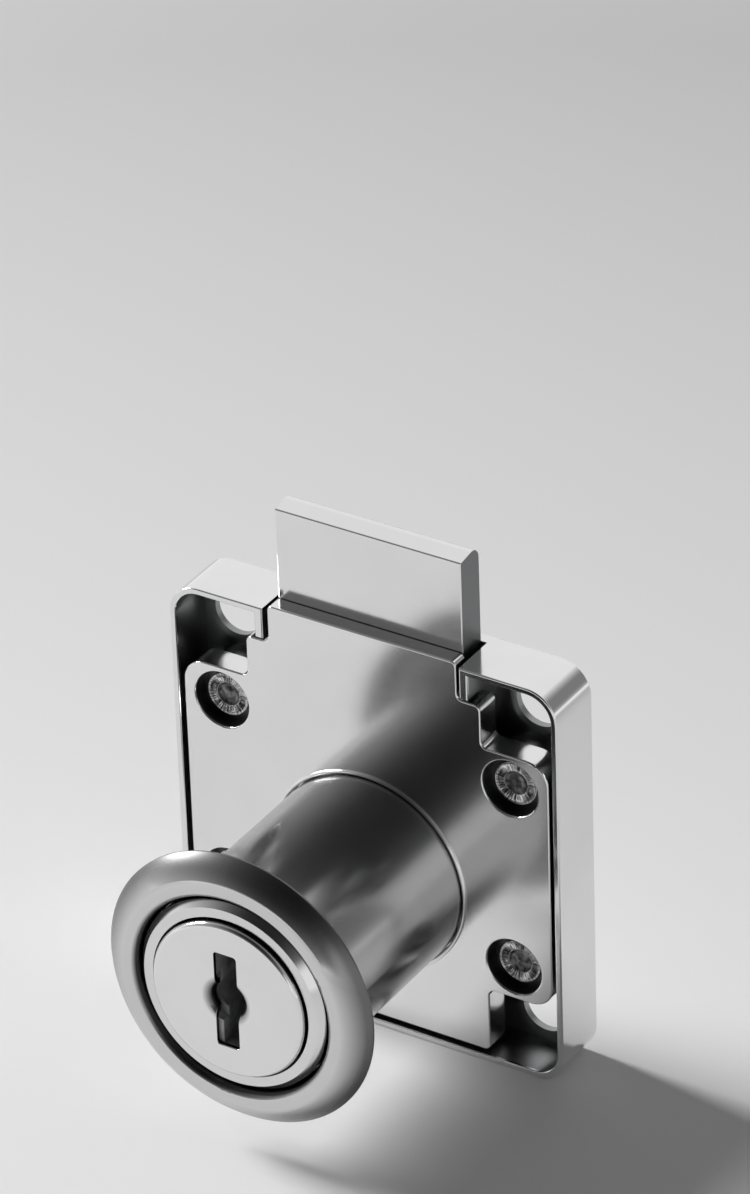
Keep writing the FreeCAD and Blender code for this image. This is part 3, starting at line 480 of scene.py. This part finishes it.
def make_rivets():
    """All four rivets in one piece. Each vertex keeps its way from its rivet's axis, which the streaks of
    the teeth follow, and each face takes the finish of its place: teeth, cup, or tail behind the seat."""
    meshes = [closed_grid("rivet", rivet_points(x, z, seed)) for seed, (x, z) in enumerate(RIVET_PLACES)]
    piece = finish_piece("serrated_rivets", meshes, [serrated_rivet, rivet_cup, rivet_tail])
    mesh = piece.data
    corners = np.empty(len(mesh.vertices) * 3)
    mesh.vertices.foreach_get("co", corners)
    from_axis = beside_nearest_rivet(corners.reshape(-1, 3))
    mesh.attributes.new("from_axis", "FLOAT_VECTOR", "POINT").data.foreach_set("vector", from_axis.ravel())
    centres = np.empty(len(mesh.polygons) * 3)
    mesh.polygons.foreach_get("center", centres)
    centres = centres.reshape(-1, 3)
    in_cup = np.linalg.norm(beside_nearest_rivet(centres), axis=1) < CUP_EDGE * MM
    on_tail = centres[:, 1] > (RIVET_SEAT - 0.01) * MM
    slots = np.where(on_tail, TAIL_SLOT, np.where(in_cup, CUP_SLOT, TEETH_SLOT))
    mesh.polygons.foreach_set("material_index", slots.astype(np.int32))
    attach(piece, "housing")
    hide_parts("rivets")


# Lip round the barrel hole, in millimetres

LIP_RADIUS = 9.78
LIP_DEPTH = 0.2
LIP_SECTION_RADIUS = 0.2
POINTS_ROUND_LIP = 192
POINTS_ROUND_SECTION = 17


def make_barrel_lip():
    """A thin ring of round section, pressed up from the plate where the barrel leaves it: the distance
    from the barrel's axis is the lip's radius plus the section's radius times the cosine of the section's
    turn, and the depth is the lip's depth plus the section's radius times its sine."""
    turn = np.arange(POINTS_ROUND_LIP) * 2 * np.pi / POINTS_ROUND_LIP
    section = np.linspace(0, 2 * np.pi, POINTS_ROUND_SECTION)[:, None]
    radius = LIP_RADIUS + LIP_SECTION_RADIUS * np.cos(section)
    depth = np.broadcast_to(LIP_DEPTH + LIP_SECTION_RADIUS * np.sin(section),
                            (POINTS_ROUND_SECTION, POINTS_ROUND_LIP))
    points = np.stack([radius * np.cos(turn), depth, radius * np.sin(turn)], axis=-1)
    lip = finish_piece("barrel_lip", [closed_grid("lip", points)], [nickel_lip])
    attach(lip, "housing")


# Floor, studio and camera

FLOOR_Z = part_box("case")[0].z
FLOOR_REACH = 3.0
FLOOR_FADE_START = 0.19
FLOOR_FADE_END = 0.42

# Directions from the lock, and levels of white. The fade runs from the side opposite the unlit one, at
# nought, to the unlit one, at one.
UNLIT_SIDE = (0.1, -0.7, 0.7)
DARK_FLAG = (0.62, 0.72, 0.31)
WHITE_CARD = (0.75, -0.65, 0.10)
UNLIT_FADE = [(0.0, 0.93), (0.5, 0.93), (0.6, 0.80), (0.70, 0.54), (0.80, 0.36), (0.885, 0.18), (0.935, 0.08),
              (0.975, 0.03), (1.0, 0.02)]
CARD_LEVEL = 0.95
MATT_FILL = 0.17


def camera_and_mirror_rays(tree):
    """Two shares: one for what the camera sees, one for what mirror or clear surfaces see."""
    rays = node(tree, "ShaderNodeLightPath").outputs
    by_mirror = node(tree, "ShaderNodeMath", {0: rays["Is Glossy Ray"], 1: rays["Is Transmission Ray"]},
                     operation="MAXIMUM")
    return rays["Is Camera Ray"], by_mirror


def make_floor():
    """A plain pale sheet that the lock stands on. Out where the lamp's cone doesn't reach, the camera and
    mirror surfaces see it fade to the plain white of the studio, and matt ones get no light from that."""
    mesh = bpy.data.meshes.new("floor")
    corners = [(x * FLOOR_REACH, y * FLOOR_REACH, FLOOR_Z) for x, y in ((-1, -1), (1, -1), (1, 1), (-1, 1))]
    mesh.from_pydata(corners, [], [(0, 1, 2, 3)])
    floor = bpy.data.objects.new("floor", mesh)
    bpy.context.scene.collection.objects.link(floor)
    material, tree = new_material("pale matt studio board")
    # Board, painted matt: even and pale, with next to no shine.
    board = node(tree, "ShaderNodeBsdfPrincipled",
                 {"Base Color": linear("#efefef"), "Roughness": 0.9, "Specular IOR Level": 0.1})
    by_camera, by_mirror = camera_and_mirror_rays(tree)
    seen = node(tree, "ShaderNodeMath", {0: by_mirror, 1: by_camera}, operation="MAXIMUM")
    place = node(tree, "ShaderNodeTexCoord").outputs["Object"]
    distance = node(tree, "ShaderNodeVectorMath", {0: place}, operation="LENGTH")
    far_off = node(tree, "ShaderNodeMapRange",
                   {"Value": distance, "From Min": FLOOR_FADE_START, "From Max": FLOOR_FADE_END})
    share = node(tree, "ShaderNodeMath", {0: far_off, 1: seen}, operation="MINIMUM")
    white = node(tree, "ShaderNodeEmission", {"Color": (1, 1, 1, 1), "Strength": 1.0})
    surface = node(tree, "ShaderNodeMixShader", {0: share, 1: board, 2: white})
    node(tree, "ShaderNodeOutputMaterial", {"Surface": surface})
    mesh.materials.append(material)


def make_world():
    """A white studio whose unlit side is above and in front of the lock, with a dark flag low behind it
    to the right and a small white card low in front to the right. The camera sees plain white, mirror
    and clear surfaces see white that fades to the unlit side, the flag and the card, and matt ones get
    an even fill."""
    world = bpy.data.worlds.new("studio")
    bpy.context.scene.world = world
    world.use_nodes = True
    tree = world.node_tree
    tree.nodes.clear()
    by_camera, by_mirror = camera_and_mirror_rays(tree)
    way = node(tree, "ShaderNodeTexCoord").outputs["Generated"]
    to_unlit, to_flag, to_card = (
        node(tree, "ShaderNodeVectorMath", {0: way, 1: Vector(side).normalized()}, operation="DOT_PRODUCT")
        for side in (UNLIT_SIDE, DARK_FLAG, WHITE_CARD))
    unlit_share = node(tree, "ShaderNodeMapRange", {"Value": to_unlit, "From Min": -1.0})
    fade = node(tree, "ShaderNodeValToRGB", {"Fac": unlit_share})
    while len(fade.color_ramp.elements) < len(UNLIT_FADE):
        fade.color_ramp.elements.new(0.5)
    for element, (position, level) in zip(fade.color_ramp.elements, UNLIT_FADE):
        element.position = position
        element.color = (level, level, level, 1.0)
    left_by_flag = node(tree, "ShaderNodeMapRange",
                        {"Value": to_flag, "From Min": 0.87, "From Max": 0.985, "To Min": 1.0,
                         "To Max": 0.25})
    flagged = node(tree, "ShaderNodeVectorMath", {0: fade, "Scale": left_by_flag}, operation="SCALE")
    card_share = node(tree, "ShaderNodeMapRange", {"Value": to_card, "From Min": 0.96, "From Max": 0.99})
    studio = node(tree, "ShaderNodeMix",
                  {"Factor": card_share, "A": flagged, "B": (CARD_LEVEL, CARD_LEVEL, CARD_LEVEL, 1.0)},
                  data_type="RGBA")
    lighting = node(tree, "ShaderNodeMix",
                    {"Factor": by_mirror, "A": (MATT_FILL, MATT_FILL, MATT_FILL, 1.0), "B": studio},
                    data_type="RGBA")
    final = node(tree, "ShaderNodeMix", {"Factor": by_camera, "A": lighting, "B": (1.0, 1.0, 1.0, 1.0)},
                 data_type="RGBA")
    background = node(tree, "ShaderNodeBackground", {"Color": final, "Strength": 1.0})
    node(tree, "ShaderNodeOutputWorld", {"Surface": background})


def add_key_softbox():
    """A square soft light on the left. Its grid holds the light to a cone round the floor in front of the
    lock, so that the floor behind stays a little darker than the plated tops."""
    place, target = Vector((-1.30, -0.05, 0.675)), Vector((-0.04, -0.10, -0.016))
    lamp = bpy.data.lights.new("key softbox", "AREA")
    lamp.size = 0.55
    lamp.energy = 1.72
    lamp.spread = math.radians(32)
    box = bpy.data.objects.new("key softbox", lamp)
    box.visible_camera = False
    turned = (target - place).to_track_quat("-Z", "Y").to_matrix().to_4x4()
    box.matrix_world = Matrix.Translation(place) @ turned
    bpy.context.scene.collection.objects.link(box)


def make_camera():
    """The photograph's view: its turn, height, roll, distance and focal length were fitted to the
    lock's corners and circles, in degrees, millimetres and pixels of a 750 by 1194 frame."""
    turn, height, roll = (math.radians(angle) for angle in (32.823, 31.561, -2.003))
    distance, side_shift, up_shift = 623.46, 0.652, 23.86
    focal_pixels, frame_height = 7161.284, 1194
    right = Vector((math.cos(turn), math.sin(turn), 0))
    up = Vector((-math.sin(turn) * math.sin(height), math.cos(turn) * math.sin(height), math.cos(height)))
    ahead = Vector((-math.sin(turn) * math.cos(height), math.cos(turn) * math.cos(height), -math.sin(height)))
    across = math.cos(roll) * right + math.sin(roll) * up
    upright = math.cos(roll) * up - math.sin(roll) * right
    place = (across * side_shift + upright * up_shift - ahead * distance) * MM
    data = bpy.data.cameras.new("camera")
    data.sensor_fit = "VERTICAL"
    data.sensor_height = 36
    data.lens = focal_pixels * data.sensor_height / frame_height
    data.clip_start = 0.01
    camera = bpy.data.objects.new("camera", data)
    turned = Matrix((across, upright, -ahead)).transposed().to_4x4()
    camera.matrix_world = Matrix.Translation(place) @ turned
    bpy.context.scene.collection.objects.link(camera)
    bpy.context.scene.camera = camera


bpy.context.scene.view_settings.view_transform = "Standard"
make_rivets()
make_barrel_lip()
make_floor()
make_world()
add_key_softbox()
make_camera()
